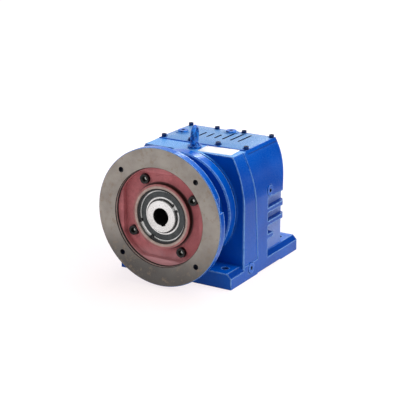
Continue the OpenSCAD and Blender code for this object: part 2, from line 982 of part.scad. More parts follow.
module tooth_outline(teeth) {
    side = flank(teeth);
    last = len(side) - 1;
    polygon([for (i = [0 : teeth - 1])
                 for (k = [0 : 2 * last + 1])
                     let (p = side[k <= last ? k : 2 * last + 1 - k], a = i * 360 / teeth)
                         polar(p[0], k <= last ? a - p[1] : a + p[1])]);
}

// Helical toothing centred on z = 0, one tooth at the phase angle in the middle plane
module toothing(teeth, width, hand, phase) {
    turn = hand * width * tan(helix_angle) / pitch_radius(teeth) * 180 / PI;
    translate([0, 0, -width / 2])
        rotate([0, 0, phase + turn / 2])
            linear_extrude(width, twist = turn, slices = helix_slices)
                tooth_outline(teeth);
}

module key_slot(width, reach, length) {
    translate([-width / 2, 0, 0])
        cube([width, reach, length]);
}

// Keyed bore in a gear, the keyway pointing up
module keyed_bore(radius, width, hub_depth, length) {
    translate([0, 0, -length / 2 - cut]) {
        cylinder(r = radius + slip / 2, h = length + 2 * cut);
        rotate([0, 0, 180])
            key_slot(width + 2 * slip, radius + hub_depth, length + 2 * cut);
    }
}

module input_pinion() {
    color(gear_steel) {
        at_axis(first_mid)
            toothing(input_teeth, first_face + pinion_margin, 1, mesh_angle);
        at_axis(stem_y)
            cylinder(r = stem_radius, h = first_gear_front - pinion_margin / 2 - stem_y);
        at_axis(hub_end)
            cylinder(r = hub_nose_radius, h = first_gear_front - pinion_margin / 2 - hub_end);
    }
}

module countershaft_gear() {
    color(gear_steel)
        at_axis(first_mid, counter)
            difference() {
                toothing(first_gear_teeth, first_face, -1,
                         mesh_angle + 180 + 180 / first_gear_teeth);
                keyed_bore(counter_seat, counter_key, counter_key_height - counter_key_depth + 0.4,
                           first_face);
            }
}

module output_gear() {
    color(gear_steel)
        at_axis(second_mid)
            difference() {
                toothing(output_teeth, second_face, 1, mesh_angle);
                keyed_bore(gear_seat, gear_key, gear_key_height - gear_key_depth + 0.5,
                           second_face);
            }
}

// ---- Shafts ----

module input_shaft() {
    seat = front_bearing[0] / 2;
    shoulder = front_bearing_y - hub_y + front_bearing[2];
    pilot = pilot_bearing_y - hub_y;
    pilot_seat = pilot_bearing[0] / 2;
    seal = seal_y - hub_y;
    end = hub_end - hub_y;
    bore = motor_bore / 2;
    groove = front_bearing_y - hub_y;
    color(steel)
        at_axis(hub_y)
            difference() {
                rotate_extrude()
                    polygon([[0, 0], [seat - 1, 0], [seat, 1], [seat, groove - 2.5],
                             [seat - 2, groove - 2.5], [seat - 2, groove], [seat, groove],
                             [seat, shoulder], [seat + 6, shoulder], [seat + 6, shoulder + 6],
                             [seat - 2, shoulder + 6], [seat - 2, seal - 2],
                             [pilot_seat + 5, seal - 2], [pilot_seat + 5, pilot],
                             [pilot_seat, pilot], [pilot_seat, pilot + pilot_bearing[2] + 2],
                             [hub_nose_radius, pilot + pilot_bearing[2] + 2], [hub_nose_radius, end],
                             [0, end]]);
                translate([0, 0, -cut])
                    cylinder(r = bore, h = motor_bore_depth + cut);
                translate([0, 0, -cut])
                    cylinder(r1 = bore + 1 + cut, r2 = bore, h = 1 + cut);
                translate([0, 0, stem_seat_y - hub_y])
                    cylinder(r = stem_radius + slip / 2, h = hub_end - stem_seat_y + cut);
                rotate([0, 0, -90 - motor_key_angle])
                    translate([0, 0, -cut])
                        key_slot(motor_key, bore + 3.3, motor_bore_depth + cut);
            }
}

module countershaft() {
    start = counter_front_y + 1;
    nose = counter_front_bearing[0] / 2;
    tail = counter_rear_bearing[0] / 2;
    face = second_face + pinion_margin;
    pinion_front = second_mid - face / 2;
    pinion_rear = second_mid + face / 2;
    color(gear_steel) {
        at_axis(start, counter)
            difference() {
                rotate_extrude()
                    polygon([[0, 0], [nose - 1, 0], [nose, 1], [nose, first_gear_front - start],
                             [counter_seat, first_gear_front - start],
                             [counter_seat, first_gear_rear - start],
                             [30, first_gear_rear - start], [30, first_gear_rear - start + 6],
                             [27, first_gear_rear - start + 6], [27, pinion_front - start],
                             [0, pinion_front - start]]);
                translate([0, 0, first_gear_front - start - cut])
                    difference() {
                        rotate([0, 0, 180])
                            key_slot(counter_key, 2 * counter_seat, first_face + cut);
                        translate([0, 0, -cut])
                            cylinder(r = counter_seat - counter_key_depth,
                                     h = first_face + 4 * cut);
                    }
            }
        at_axis(second_mid, counter)
            toothing(counter_teeth, face, -1, mesh_angle + 180 + 180 / counter_teeth);
        at_axis(pinion_rear, counter)
            rotate_extrude()
                polygon([[0, 0], [25, 0], [25, counter_rear_y - pinion_rear],
                         [tail, counter_rear_y - pinion_rear],
                         [tail, counter_rear_end + 1 - pinion_rear],
                         [tail - 1, counter_rear_end + 2 - pinion_rear],
                         [0, counter_rear_end + 2 - pinion_rear]]);
    }
}

module countershaft_key() {
    color(steel)
        at_axis(first_gear_front + key_margin, counter)
            rotate([0, 0, 180])
                translate([slip - counter_key / 2, counter_seat - counter_key_depth, 0])
                    cube([counter_key - 2 * slip, counter_key_height,
                          first_face - 2 * key_margin]);
}

module countershaft_spacer() {
    color(steel)
        at_axis(counter_boss_end, counter)
            ring(counter_seat - 1, counter_front_bearing[0] / 2 + slip,
                 first_gear_front - counter_boss_end);
}

module countershaft_end_cap() {
    color(enamel)
        at_axis(cap_y, counter)
            rotate_extrude()
                polygon([[0, cap_thickness - 3], [counter_rear_bearing[1] / 2 - 4, cap_thickness - 3],
                         [counter_rear_bearing[1] / 2 - 4, 0],
                         [counter_rear_bearing[1] / 2 - slip, 0],
                         [counter_rear_bearing[1] / 2 - slip, cap_thickness], [0, cap_thickness]]);
}

module output_shaft() {
    start = output_front_y - 1.5;
    nose = output_front_bearing[0] / 2;
    land = output_rear_bearing[0] / 2;
    tip = output_diameter / 2;
    color(steel)
        difference() {
            at_axis(start)
                rotate_extrude()
                    polygon([[0, 0], [nose - 1, 0], [nose, 1], [nose, output_gear_front - start],
                             [gear_seat, output_gear_front - start],
                             [gear_seat, output_gear_rear - start],
                             [38, output_gear_rear - start], [38, output_rear_y - start],
                             [land, output_rear_y - start], [land, output_land_end - start],
                             [tip, output_land_end - start], [tip, output_end - 2 - start],
                             [tip - 2, output_end - start], [0, output_end - start]]);
            at_axis(output_gear_front - cut)
                difference() {
                    rotate([0, 0, 180])
                        key_slot(gear_key, 2 * gear_seat, second_face + cut);
                    translate([0, 0, -cut])
                        cylinder(r = gear_seat - gear_key_depth, h = second_face + 4 * cut);
                }
            translate([0, 0, axis_height])
                rotate([0, output_key_angle, 0])
                    translate([0, output_land_end + output_key_margin, tip - output_key_depth])
                        linear_extrude(output_key_depth + cut)
                            round_ended(output_key, output_length - 2 * output_key_margin);
            at_axis(output_end - centre_hole_depth)
                cylinder(d = centre_hole, h = centre_hole_depth + cut);
            at_axis(output_end - 4)
                cylinder(d1 = centre_hole, d2 = centre_hole + 9, h = 4 + slip);
        }
}

module output_gear_key() {
    color(steel)
        at_axis(output_gear_front + key_margin)
            rotate([0, 0, 180])
                translate([slip - gear_key / 2, gear_seat - gear_key_depth, 0])
                    cube([gear_key - 2 * slip, gear_key_height, second_face - 2 * key_margin]);
}

module output_spacer() {
    color(steel)
        at_axis(web_rear)
            ring(gear_seat + 1, output_front_bearing[0] / 2 + slip, output_gear_front - web_rear);
}

module input_oil_seal() {
    at_axis(seal_y)
        oil_seal(pilot_bearing[1] / 2, pilot_bearing[0] / 2 + 5, input_seal_width);
}

module output_oil_seal() {
    at_axis(output_seal_y)
        oil_seal(output_rear_bearing[1] / 2, output_rear_bearing[0] / 2, output_seal_width);
}

// ---- Bearing places ----

module front_bearing_outer_ring() {
    at_axis(front_bearing_y)
        outer_ring(front_bearing);
}

module front_bearing_inner_ring() {
    at_axis(front_bearing_y)
        inner_ring(front_bearing);
}

module front_bearing_balls() {
    at_axis(front_bearing_y)
        ball_set(front_bearing);
}

module pilot_bearing_outer_ring() {
    at_axis(pilot_bearing_y)
        outer_ring(pilot_bearing);
}

module pilot_bearing_inner_ring() {
    at_axis(pilot_bearing_y)
        inner_ring(pilot_bearing);
}

module pilot_bearing_balls() {
    at_axis(pilot_bearing_y)
        ball_set(pilot_bearing);
}

module counter_front_outer_ring() {
    at_axis(counter_front_y, counter)
        outer_ring(counter_front_bearing);
}

module counter_front_inner_ring() {
    at_axis(counter_front_y, counter)
        inner_ring(counter_front_bearing);
}

module counter_front_balls() {
    at_axis(counter_front_y, counter)
        ball_set(counter_front_bearing);
}

module counter_rear_outer_ring() {
    at_axis(counter_rear_y, counter)
        outer_ring(counter_rear_bearing);
}

module counter_rear_inner_ring() {
    at_axis(counter_rear_y, counter)
        inner_ring(counter_rear_bearing);
}

module counter_rear_balls() {
    at_axis(counter_rear_y, counter)
        ball_set(counter_rear_bearing);
}

module output_front_outer_ring() {
    at_axis(output_front_y)
        outer_ring(output_front_bearing);
}

module output_front_inner_ring() {
    at_axis(output_front_y)
        inner_ring(output_front_bearing);
}

module output_front_balls() {
    at_axis(output_front_y)
        ball_set(output_front_bearing);
}

module output_rear_outer_ring() {
    at_axis(output_rear_y)
        outer_ring(output_rear_bearing);
}

module output_rear_inner_ring() {
    at_axis(output_rear_y)
        inner_ring(output_rear_bearing);
}

module output_rear_balls() {
    at_axis(output_rear_y)
        ball_set(output_rear_bearing);
}

gear_housing();
top_cover();
cover_gasket();
cover_bolts();
lifting_eyebolt();
breather_plug();
filler_plug();
level_plug();
drain_plug();
motor_adapter();
adapter_screws();
input_shaft();
input_pinion();
front_circlip();
hub_circlip();
input_oil_seal();
front_bearing_outer_ring();
front_bearing_inner_ring();
front_bearing_balls();
front_bearing_shield();
pilot_bearing_outer_ring();
pilot_bearing_inner_ring();
pilot_bearing_balls();
countershaft();
countershaft_gear();
countershaft_key();
countershaft_spacer();
countershaft_circlip();
countershaft_end_cap();
counter_front_outer_ring();
counter_front_inner_ring();
counter_front_balls();
counter_rear_outer_ring();
counter_rear_inner_ring();
counter_rear_balls();
output_shaft();
output_gear();
output_gear_key();
output_spacer();
output_circlip();
output_oil_seal();
output_front_outer_ring();
output_front_inner_ring();
output_front_balls();
output_rear_outer_ring();
output_rear_inner_ring();
output_rear_balls();
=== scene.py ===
# Helical gear reducer: materials, small fittings, studio and camera on the CAD frame.
import math

import bmesh
import bpy
from mathutils import Matrix, Vector


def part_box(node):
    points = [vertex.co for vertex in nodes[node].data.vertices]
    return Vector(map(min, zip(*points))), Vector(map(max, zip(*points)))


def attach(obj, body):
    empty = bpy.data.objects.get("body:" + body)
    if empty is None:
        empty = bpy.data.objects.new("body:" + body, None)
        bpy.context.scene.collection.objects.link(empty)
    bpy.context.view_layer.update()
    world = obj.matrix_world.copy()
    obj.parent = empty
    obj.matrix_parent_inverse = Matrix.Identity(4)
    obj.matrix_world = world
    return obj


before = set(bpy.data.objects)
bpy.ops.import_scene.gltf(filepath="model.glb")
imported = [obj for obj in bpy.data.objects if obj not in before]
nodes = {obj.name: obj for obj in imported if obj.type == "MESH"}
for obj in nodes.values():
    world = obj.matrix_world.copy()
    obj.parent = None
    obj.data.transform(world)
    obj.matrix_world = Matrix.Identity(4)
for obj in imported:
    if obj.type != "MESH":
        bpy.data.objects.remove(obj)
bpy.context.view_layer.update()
scene = bpy.context.scene


def middle(node):
    """Centre of the box of a CAD node."""
    low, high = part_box(node)
    return (low + high) / 2


# Housing and cover, in metres
AXIS_Z = middle("output_oil_seal").z
SIDE_X, DECK_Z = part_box("gear_housing")[1].xz
COVER_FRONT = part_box("top_cover")[0].y
COVER_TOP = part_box("top_cover")[1].z
COVER_RIM = COVER_TOP - 0.0037
JOINT_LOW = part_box("cover_gasket")[0].z - 0.001
SLOT_BOTTOM = COVER_TOP - 0.0045
SLOTS_X, SLOTS_Y = (0.0145, 0.0615), (0.048, 0.0365)    # middle and half length of the field
POCKET_START, POCKET_X = 0.011, SIDE_X - 0.0145         # ribbed pockets in the sides
FOOT_TOP = 0.04
FOOT_HOLES = [(x, y) for x in (-0.125, 0.125) for y in (-0.14, 0.14)]

# Bolts and plugs: radii, and places of the bolts
BOLT_HEAD, BOLT_SOCKET, PLUG_SOCKET = 0.0064, 0.0043, 0.0062
bolts_low, bolts_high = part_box("cover_bolts")
BOLT_X = bolts_high.x - BOLT_HEAD
COVER_BOLTS = [(x, y) for x in (-BOLT_X, -BOLT_X / 3, BOLT_X / 3, BOLT_X)
               for y in (bolts_low.y + BOLT_HEAD, bolts_high.y - BOLT_HEAD)]

# Adapter: depths behind the flange face, and radii round the main axis
FACE_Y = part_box("motor_adapter")[0].y
REGISTER_END = FACE_Y + 0.0105
BOSS_FRONT = FACE_Y + 0.0135
SCREW_TOP = FACE_Y + 0.0185
FLANGE_HOLE_END = FACE_Y + 0.031
BOWL_END = FACE_Y + 0.0345
FLANGE_CIRCLE = 0.15
REGISTER_RADIUS = 0.1262
BOSS_RADIUS = 0.0812
SHIELD_IN, SHIELD_OUT = 0.0474, 0.0622
SCREW_CIRCLE, SCREW_TURN = 0.1, 31          # the four screws: radius, and degrees from +X
SCREW_HEAD = 0.0079
SCREWS = [(SCREW_CIRCLE * math.cos(math.radians(SCREW_TURN + quarter)),
           AXIS_Z + SCREW_CIRCLE * math.sin(math.radians(SCREW_TURN + quarter)))
          for quarter in (0, 90, 180, 270)]

# Rating plate and the pins that hold it
PLATE_WIDTH, PLATE_DEPTH, PLATE_THICK, PLATE_CORNER = 0.092, 0.052, 0.0009, 0.003
PIN_INSET = 0.0045


# ---------------------------------------------------------------- shader helpers
class Shader:
    """Short names for building a node material. Colours are linear, lengths in metres."""

    def __init__(self, name, **sockets):
        self.mat = bpy.data.materials.new(name)
        self.mat.use_nodes = True
        self.tree = self.mat.node_tree
        self.bsdf = self.tree.nodes["Principled BSDF"]
        self.coords = self.tree.nodes.new("ShaderNodeTexCoord").outputs["Object"]
        for key, value in sockets.items():
            self.feed(self.bsdf.inputs[key.replace("_", " ")], value)

    def link(self, a, b):
        self.tree.links.new(a, b)

    def feed(self, socket, value):
        """Sets a socket to a number or colour, or links an output to it."""
        if isinstance(value, tuple):
            socket.default_value = (*value, 1.0)
        elif isinstance(value, (int, float)):
            socket.default_value = value
        else:
            self.link(value, socket)

    def node(self, kind, **props):
        """New node with its properties set."""
        n = self.tree.nodes.new("ShaderNode" + kind)
        for key, value in props.items():
            setattr(n, key, value)
        return n

    def noise(self, scale, detail=3.0, rough=0.5, vector=None):
        """Noise from 0 to 1 that stays on the object."""
        n = self.node("TexNoise")
        n.inputs["Scale"].default_value = scale
        n.inputs["Detail"].default_value = detail
        n.inputs["Roughness"].default_value = rough
        self.link(vector or self.coords, n.inputs["Vector"])
        return n.outputs["Fac"]

    def math(self, op, *values):
        """Result of one operation on outputs or numbers."""
        n = self.node("Math", operation=op)
        for socket, value in zip(n.inputs, values):
            self.feed(socket, value)
        return n.outputs[0]

    def span(self, value, low, high, to_low=0.0, to_high=1.0):
        """Smooth step from to_low at low to to_high at high."""
        n = self.node("MapRange", interpolation_type="SMOOTHSTEP")
        self.link(value, n.inputs["Value"])
        limits = (low, high, to_low, to_high)
        for key, limit in zip(("From Min", "From Max", "To Min", "To Max"), limits):
            n.inputs[key].default_value = limit
        return n.outputs["Result"]

    def within(self, value, middle, half, fade=0.002):
        """1 up to half from the middle, and 0 beyond the fade."""
        offset = self.math("ABSOLUTE", self.math("SUBTRACT", value, middle))
        return self.span(offset, half, half + fade, 1.0, 0.0)

    def mix(self, factor, a, b):
        """Colour a where the factor is 0 and b where it is 1."""
        n = self.node("Mix", data_type="RGBA")
        self.feed(n.inputs["Factor"], factor)
        self.feed(n.inputs[6], a)
        self.feed(n.inputs[7], b)
        return n.outputs[2]

    def mottle(self, noise, dark, light):
        """Colour that drifts from dark to light with a noise."""
        return self.mix(self.span(noise, 0.3, 0.7), dark, light)

    def split(self, vector):
        """X, Y and Z of a vector."""
        s = self.node("SeparateXYZ")
        self.link(vector, s.inputs[0])
        return s.outputs["X"], s.outputs["Y"], s.outputs["Z"]

    def axes(self):
        return self.split(self.coords)

    def normal_axes(self):
        return self.split(self.node("NewGeometry").outputs["Normal"])

    def length(self, a, b):
        """Length of the plane vector (a, b)."""
        return self.math("SQRT", self.math("ADD", self.math("MULTIPLY", a, a),
                                           self.math("MULTIPLY", b, b)))

    def radius(self):
        """Distance from the main axis."""
        x, _, z = self.axes()
        return self.length(x, self.math("SUBTRACT", z, AXIS_Z))

    def ridges(self, value, pitch):
        """Turning marks: a sine of the value, one wave for each pitch."""
        return self.math("SINE", self.math("MULTIPLY", value, 2 * math.pi / pitch))

    def rounded_normal(self, radius):
        """Normal with the edges rounded to a radius."""
        bevel = self.node("Bevel", samples=4)
        bevel.inputs["Radius"].default_value = radius
        return bevel.outputs[0]

    def edges(self, radius, most):
        """Near most on outward edges, where the rounded normal leaves the plain one, else 0."""
        dot = self.node("VectorMath", operation="DOT_PRODUCT")
        self.link(self.rounded_normal(radius), dot.inputs[0])
        self.link(self.node("NewGeometry").outputs["Normal"], dot.inputs[1])
        open_air = self.node("AmbientOcclusion", samples=4)
        open_air.inputs["Distance"].default_value = 2.5 * radius
        outward = self.span(open_air.outputs["AO"], 0.72, 0.92)
        turned_away = self.span(dot.outputs["Value"], 0.88, 0.998, most, 0.0)
        return self.math("MULTIPLY", outward, turned_away)

    def colour(self, value):
        self.link(value, self.bsdf.inputs["Base Color"])

    def rough(self, noise, low, high):
        """Roughness that drifts from low to high with a noise."""
        self.link(self.span(noise, 0.3, 0.7, low, high), self.bsdf.inputs["Roughness"])

    def finish(self, height, distance, edge=0.0):
        """Connects the bump, over rounded edges, to the normal."""
        bump = self.node("Bump")
        bump.inputs["Distance"].default_value = distance
        self.link(height, bump.inputs["Height"])
        if edge:
            self.link(self.rounded_normal(edge), bump.inputs["Normal"])
        self.link(bump.outputs[0], self.bsdf.inputs["Normal"])
        return self.mat


# ---------------------------------------------------------------- materials
BLUE = (0.0004, 0.078, 0.44)
BLUE_DEEP = (0.0003, 0.056, 0.36)
# painted light: paler blue on level faces, and a painted reflection on the deck and on the cover
# top
BLUE_UP_LIT = (0.0003, 0.100, 0.52)
BLUE_DECK_SHEEN = (0.085, 0.300, 0.70)
BLUE_COVER_SHEEN = (0.085, 0.235, 0.52)
BLUE_SPECK = (0.36, 0.46, 0.78)
# painted highlight on edges and on the small band steps
BLUE_EDGE_HIGHLIGHT = (0.35, 0.63, 0.98)
BLUE_SHADOW = (0.001, 0.012, 0.08)
BRIGHT_STEEL = (0.95, 0.95, 0.94)


def clear_of_joint(s, y, z):
    """1 everywhere but on the joint of the cover, which stays dark."""
    ahead = s.span(y, COVER_FRONT - 0.006, COVER_FRONT - 0.003, 1.0, 0.0)
    below = s.span(z, JOINT_LOW - 0.003, JOINT_LOW, 1.0, 0.0)
    above = s.span(z, COVER_RIM, COVER_RIM + 0.0009)
    return s.math("MAXIMUM", ahead, s.math("MAXIMUM", below, above))


def enamel(name, cast, edge, gloss=0.20, light=BLUE, deep=BLUE_DEEP, up=BLUE_UP_LIT, deck=BLUE_UP_LIT,
           patch=7.0, grain_scale=150.0, speck=0.0, edge_highlight=0.8, reach=2.2, corners=False,
           slots=False):
    """Blue gloss enamel on a casting.

    cast is the height of the casting texture, grain_scale its scale, edge the radius of the
    rounded edges and gloss the lowest roughness. The colour drifts between deep and light
    in patches. As painted light it turns to up on level faces, and, as a painted reflection,
    to deck at the height of the deck. speck is the strength of pale specks. edge_highlight
    is the strength of a painted highlight on edges, as far as reach times their radius, and
    with corners also where two upright faces meet. slots paints shade on the rims of the
    slots in the cover.
    """
    s = Shader(name, Specular_IOR_Level=0.24, Specular_Tint=(0.45, 0.92, 1.0))
    fine = s.noise(grain_scale, 3.0, 0.55)
    grain = s.noise(620.0, 2.0, 0.6)
    base = s.mix(s.span(s.noise(patch, 2.0), 0.35, 0.65), deep, light)
    if speck:
        base = s.mix(s.span(s.noise(700.0, 4.0, 0.7), 0.36, 0.64, 0.0, speck), base, BLUE_SPECK)
    x, y, z = s.axes()
    if edge_highlight:
        nx, ny, nz = s.normal_axes()
        clear = clear_of_joint(s, y, z)
        # painted light on level faces, and a painted reflection near the height of the deck
        high = s.span(z, DECK_Z - 0.021, DECK_Z - 0.005)
        upward = s.mix(s.math("MULTIPLY", clear, high), up, deck)
        base = s.mix(s.span(nz, 0.35, 0.95), base, upward)
        # painted highlight on outward edges, and with corners where upright faces meet
        pale = s.math("MULTIPLY", clear, s.edges(reach * edge, edge_highlight))
        if corners:
            turn = s.math("ABSOLUTE", s.math("MULTIPLY", nx, ny))
            pale = s.math("MAXIMUM", pale, s.span(turn, 0.30, 0.48, 0.0, 0.5 * edge_highlight))
        base = s.mix(s.math("MULTIPLY", pale, s.span(fine, 0.25, 0.6, 0.35, 1.0)), base, BLUE_EDGE_HIGHLIGHT)
    if slots:
        # the field of the slots, whose rims take a painted shade
        inside = s.math("MULTIPLY", s.within(x, SLOTS_X[0], SLOTS_X[1] + 0.001),
                        s.within(y, SLOTS_Y[0], SLOTS_Y[1] + 0.0005))
        base = s.mix(s.math("MULTIPLY", inside, s.edges(0.0016, 1.0)), base, BLUE_SHADOW)
    s.colour(base)
    s.rough(grain, gloss, gloss + 0.10)
    return s.finish(s.math("ADD", fine, s.math("MULTIPLY", grain, 0.35)), cast, edge)


def primer():
    """Red primer in the bowl of the adapter, with painted shade to the right and painted light low
    down.
    """
    s = Shader("red_primer", Specular_IOR_Level=0.35)
    speck = s.noise(520.0, 3.0, 0.7)
    base = s.mottle(s.noise(38.0, 4.0, 0.6), (0.45, 0.130, 0.145), (0.64, 0.200, 0.215))
    base = s.mix(s.span(speck, 0.60, 0.78), base, (0.72, 0.42, 0.44))
    x, _, z = s.axes()
    # painted shade: darker to the right
    base = s.mix(s.span(x, -0.01, 0.09, 0.0, 0.55), base, (0.38, 0.088, 0.100))
    # painted light: paler low down
    low = s.math("ADD", z, s.math("MULTIPLY", s.noise(22.0, 3.0), 0.05))
    base = s.mix(s.span(low, 0.095, 0.125, 0.6, 0.0), base, (0.62, 0.33, 0.35))
    # painted shade in the corners at the register wall and at the foot of the bearing boss
    r = s.radius()
    corner_shade = s.math("MAXIMUM", s.span(r, REGISTER_RADIUS - 0.004, REGISTER_RADIUS - 0.002),
                   s.span(r, BOSS_RADIUS + 0.001, BOSS_RADIUS + 0.005, 0.9, 0.0))
    s.colour(s.mix(corner_shade, base, (0.030, 0.016, 0.014)))
    s.rough(speck, 0.42, 0.62)
    return s.finish(s.math("ADD", speck, s.noise(190.0, 4.0, 0.65)), 0.0011, 0.0012)


def turned(name, dark, light, pitch, rough, metallic, stain=0.0, bump=0.00012, fade=0.0):
    """Metal turned round the main axis: fine rings, an uneven tone, brown stains.

    pitch is the distance of the rings and bump their height. stain is the strength of the
    stains, and fade that of a painted shade low down.
    """
    s = Shader(name, Metallic=metallic)
    wobble = s.math("MULTIPLY", s.noise(14.0), 0.0008)
    rings = s.ridges(s.math("ADD", s.radius(), wobble), pitch)
    cloud = s.noise(70.0, 5.0, 0.65)
    base = s.mottle(s.noise(16.0, 4.0, 0.6), dark, light)
    # painted shade: darker low down
    if fade:
        _, _, z = s.axes()
        height = s.math("ADD", z, s.math("MULTIPLY", s.noise(5.0, 2.0), 0.10))
        base = s.mix(s.span(height, 0.07, 0.22, fade, 0.0), base, (0.012, 0.013, 0.014))
    if stain:
        brown = tuple(c * k for c, k in zip(dark, (0.95, 0.80, 0.66)))
        base = s.mix(s.span(cloud, 0.52, 0.72, 0.0, stain), base, brown)
    s.colour(base)
    s.rough(cloud, rough, rough + 0.14)
    return s.finish(rings, bump, 0.0006)


def plain_metal(name, colour, rough, metallic=1.0, grain=900.0, bump=0.00008):
    """Metal of one colour with a fine grain."""
    s = Shader(name, Metallic=metallic)
    fine = s.noise(grain, 3.0, 0.6)
    s.colour(s.mottle(s.noise(60.0, 3.0, 0.5), tuple(c * 0.78 for c in colour), colour))
    s.rough(fine, rough, rough + 0.12)
    return s.finish(fine, bump, 0.0004)


def rubber(name, colour, rough):
    """Matt surface of one colour, for rubber and for holes that lie in shadow."""
    s = Shader(name, Specular_IOR_Level=0.3)
    s.colour(s.mottle(s.noise(50.0), tuple(c * 0.7 for c in colour), colour))
    fine = s.noise(700.0, 3.0)
    s.rough(fine, rough, rough + 0.12)
    return s.finish(fine, 0.00006, 0.0004)


def shield():
    """Dark ribbed shield of the front bearing, with a painted highlight of bright steel along both
    edges.
    """
    s = Shader("bearing_shield", Specular_IOR_Level=0.35)
    r = s.radius()
    cloud = s.noise(90.0, 4.0)
    tone = s.mottle(cloud, (0.038, 0.044, 0.046), (0.070, 0.078, 0.082))
    # painted highlight: bright steel at the outer and inner edges
    ring_highlight = s.math("MAXIMUM", s.span(r, SHIELD_OUT - 0.0006, SHIELD_OUT),
                 s.span(r, SHIELD_IN, SHIELD_IN + 0.0006, 1.0, 0.0))
    s.colour(s.mix(ring_highlight, tone, BRIGHT_STEEL))
    s.rough(cloud, 0.38, 0.55)
    return s.finish(s.ridges(r, 0.0052), 0.0003, 0.0003)


def balls():
    """Steel balls and their brass cage, which are one node and share one tone."""
    s = Shader("balls_and_cage", Metallic=1.0)
    fine = s.noise(500.0)
    s.colour(s.mottle(fine, (0.50, 0.42, 0.26), (0.66, 0.57, 0.36)))
    s.rough(fine, 0.18, 0.30)
    return s.finish(fine, 0.00004)


def plate():
    """Brushed bare plate."""
    s = Shader("bare_plate", Metallic=0.15, Specular_IOR_Level=0.5)
    stretch = s.node("Mapping")
    stretch.inputs["Scale"].default_value = (1.0, 24.0, 1.0)
    s.link(s.coords, stretch.inputs["Vector"])
    brush = s.noise(120.0, 3.0, 0.6, vector=stretch.outputs["Vector"])
    s.colour(s.mottle(brush, (0.80, 0.80, 0.795), (0.88, 0.88, 0.875)))
    s.rough(brush, 0.30, 0.42)
    return s.finish(brush, 0.00003, 0.0003)


def socket():
    """Black socket of the adapter screws, with a painted highlight at the middle of its floor."""
    s = Shader("screw_socket", Metallic=0.3)
    x, _, z = s.axes()
    z = s.math("SUBTRACT", z, AXIS_Z)
    cos, sin = math.cos(math.radians(SCREW_TURN)), math.sin(math.radians(SCREW_TURN))
    # with the screw pattern turned square, one quadrant stands for all four screws
    u = s.math("ABSOLUTE", s.math("ADD", s.math("MULTIPLY", x, cos), s.math("MULTIPLY", z, sin)))
    v = s.math("ABSOLUTE", s.math("SUBTRACT", s.math("MULTIPLY", z, cos),
                                  s.math("MULTIPLY", x, sin)))
    out = s.math("SUBTRACT", s.math("MAXIMUM", u, v), SCREW_CIRCLE)
    off_centre = s.length(out, s.math("MINIMUM", u, v))
    # painted highlight: pale at the middle of each socket floor
    s.colour(s.mix(s.span(off_centre, 0.0028, 0.0042), (1.0, 1.0, 0.93), (0.016, 0.018, 0.014)))
    fine = s.noise(420.0, 3.0)
    s.rough(fine, 0.22, 0.34)
    return s.finish(fine, 0.0003)


def register():
    """Turned wall of the register, with painted shade in the corner at its foot and at its mouth.
    """
    s = Shader("register_wall", Metallic=0.35)
    _, y, _ = s.axes()
    cloud = s.noise(60.0, 5.0, 0.65)
    base = s.mottle(cloud, (0.50, 0.43, 0.385), (0.66, 0.58, 0.53))
    # painted shade at the foot and at the mouth of the wall
    foot = s.span(y, FACE_Y + 0.0062, FACE_Y + 0.0074)
    mouth = s.span(y, FACE_Y + 0.0024, FACE_Y + 0.0034, 1.0, 0.0)
    s.colour(s.mix(s.math("MAXIMUM", foot, mouth), base, (0.020, 0.016, 0.014)))
    s.rough(cloud, 0.36, 0.5)
    return s.finish(s.ridges(y, 0.0009), 0.00008)


def boss_rim():
    """Rim of the bearing boss: a bare turned band inside, primer outside."""
    s = Shader("boss_rim", Metallic=0.1)
    r = s.radius()
    cloud = s.noise(70.0, 4.0, 0.6)
    bare = s.mottle(cloud, (0.38, 0.27, 0.235), (0.56, 0.43, 0.38))
    paint = s.mottle(cloud, (0.33, 0.105, 0.105), (0.46, 0.17, 0.165))
    s.colour(s.mix(s.span(r, 0.0752, 0.0766), bare, paint))
    s.rough(cloud, 0.34, 0.5)
    return s.finish(s.ridges(r, 0.0011), 0.0001, 0.0012)


def boss_wall():
    """Outer wall of the bearing boss, with painted shade towards its foot."""
    s = Shader("boss_wall", Specular_IOR_Level=0.3)
    _, y, _ = s.axes()
    cloud = s.noise(70.0, 4.0, 0.6)
    unshaded = s.mottle(cloud, (0.36, 0.125, 0.12), (0.50, 0.20, 0.19))
    # painted shade behind the front of the wall
    s.colour(s.mix(s.span(y, BOSS_FRONT, BOSS_FRONT + 0.003), unshaded, (0.030, 0.008, 0.006)))
    s.rough(cloud, 0.5, 0.65)
    return s.finish(cloud, 0.0006)


